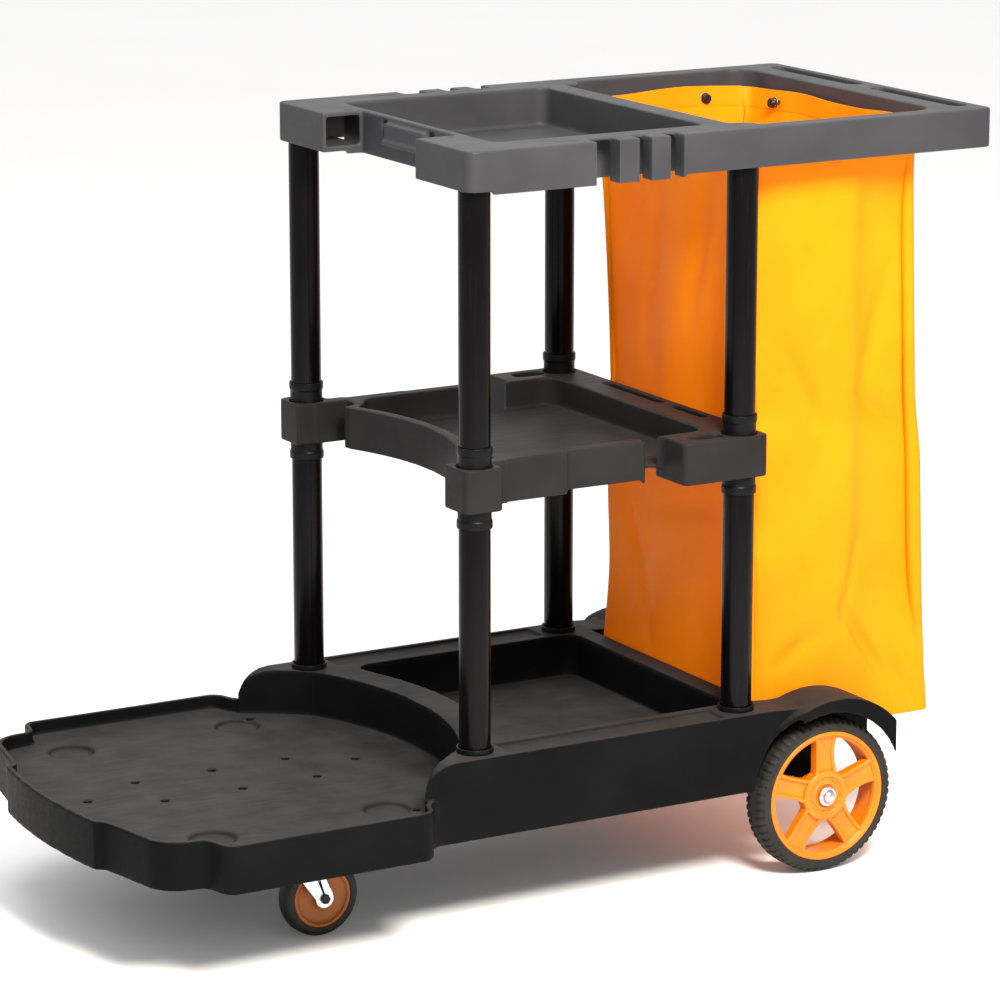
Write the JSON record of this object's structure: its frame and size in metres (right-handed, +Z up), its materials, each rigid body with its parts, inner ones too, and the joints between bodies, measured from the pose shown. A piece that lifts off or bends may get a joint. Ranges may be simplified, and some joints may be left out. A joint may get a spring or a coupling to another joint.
{
  "type": "housekeeping cart",
  "caption": "Housekeeping cart with a front platform, two shelves on tube posts, a hanging bag in a rear frame, two fixed rear wheels and two swivel casters.",
  "frame": {"origin": "on the floor, under the middle of the whole cart's box", "axes": "+X to the handle and bag end, +Y to the far side, +Z up"},
  "size_m": [1.216, 0.602, 0.971],
  "materials": {
    "base_plastic": "moulded polyethylene, fine grain, satin",
    "shelf_plastic": "moulded polyethylene, fine grain, satin",
    "tray_plastic": "moulded polyethylene, fine grain, matt",
    "gloss_tube": "extruded tube, glossy black",
    "socket_plastic": "moulded black socket, satin gloss",
    "bag_vinyl": "coated fabric, soft sheen",
    "hook_plastic": "moulded black",
    "eyelet_metal": "plated, worn",
    "zinc_steel": "zinc plated",
    "bolt_steel": "black oxide",
    "zinc_sheet": "bright zinc plated sheet",
    "wheel_orange": "moulded, satin gloss",
    "caster_orange": "moulded, satin gloss",
    "rear_rubber": "moulded rubber, matt",
    "caster_rubber": "moulded rubber, satin"
  },
  "bodies": {
    "root": {"base": "base_plastic", "mid_shelf": "shelf_plastic", "top_tray": "tray_plastic", "lower_post_front_near": "gloss_tube", "lower_post_front_far": "gloss_tube", "lower_post_rear_near": "gloss_tube", "lower_post_rear_far": "gloss_tube", "upper_post_front_near": "gloss_tube", "upper_post_front_far": "gloss_tube", "upper_post_rear_near": "gloss_tube", "upper_post_rear_far": "gloss_tube", "shelf_sleeve_front_near": "socket_plastic", "shelf_sleeve_front_far": "socket_plastic", "shelf_sleeve_rear_near": "socket_plastic", "shelf_sleeve_rear_far": "socket_plastic", "foot_ring_front_near": "socket_plastic", "foot_ring_front_far": "socket_plastic", "foot_ring_rear_near": "socket_plastic", "foot_ring_rear_far": "socket_plastic", "bag": "bag_vinyl", "bag_hooks": "hook_plastic", "bag_eyelets": "eyelet_metal", "rear_axle": "zinc_steel", "axle_washers": "zinc_steel", "axle_cap_near": "zinc_steel", "axle_cap_far": "zinc_steel", "caster_plate_near": "zinc_sheet", "caster_plate_far": "zinc_sheet", "caster_race_near": "zinc_sheet", "caster_race_far": "zinc_sheet", "caster_kingpin_near": "zinc_steel", "caster_kingpin_far": "zinc_steel", "caster_screws_near": "zinc_steel", "caster_screws_far": "zinc_steel"},
    "rear_wheel_near": {"rear_wheel_near": "wheel_orange", "rear_tyre_near": "rear_rubber"},
    "caster_near": {"caster_fork_near": "zinc_sheet", "caster_bolt_near": "bolt_steel", "caster_nut_near": "zinc_steel"},
    "caster_wheel_near": {"caster_wheel_near": "caster_orange", "caster_tyre_near": "caster_rubber"},
    "rear_wheel_far": {"rear_wheel_far": "wheel_orange", "rear_tyre_far": "rear_rubber"},
    "caster_far": {"caster_fork_far": "zinc_sheet", "caster_bolt_far": "bolt_steel", "caster_nut_far": "zinc_steel"},
    "caster_wheel_far": {"caster_wheel_far": "caster_orange", "caster_tyre_far": "caster_rubber"}
  },
  "joints": [
    {"name": "rear_wheel_near_spin", "type": "hinge", "parent": "root", "child": "rear_wheel_near", "pos_m": [0.37, -0.235, 0.1016], "axis": [0, 1, 0], "continuous": true},
    {"name": "caster_near_swivel", "type": "hinge", "parent": "root", "child": "caster_near", "pos_m": [-0.346, -0.148, 0.116], "axis": [0, 0, 1], "continuous": true},
    {"name": "caster_near_roll", "type": "hinge", "parent": "caster_near", "child": "caster_wheel_near", "pos_m": [-0.308, -0.148, 0.0508], "axis": [0, 1, 0], "continuous": true},
    {"name": "rear_wheel_far_spin", "type": "hinge", "parent": "root", "child": "rear_wheel_far", "pos_m": [0.37, 0.235, 0.1016], "axis": [0, 1, 0], "continuous": true},
    {"name": "caster_far_swivel", "type": "hinge", "parent": "root", "child": "caster_far", "pos_m": [-0.346, 0.148, 0.116], "axis": [0, 0, 1], "continuous": true},
    {"name": "caster_far_roll", "type": "hinge", "parent": "caster_far", "child": "caster_wheel_far", "pos_m": [-0.308, 0.148, 0.0508], "axis": [0, 1, 0], "continuous": true}
  ]
}
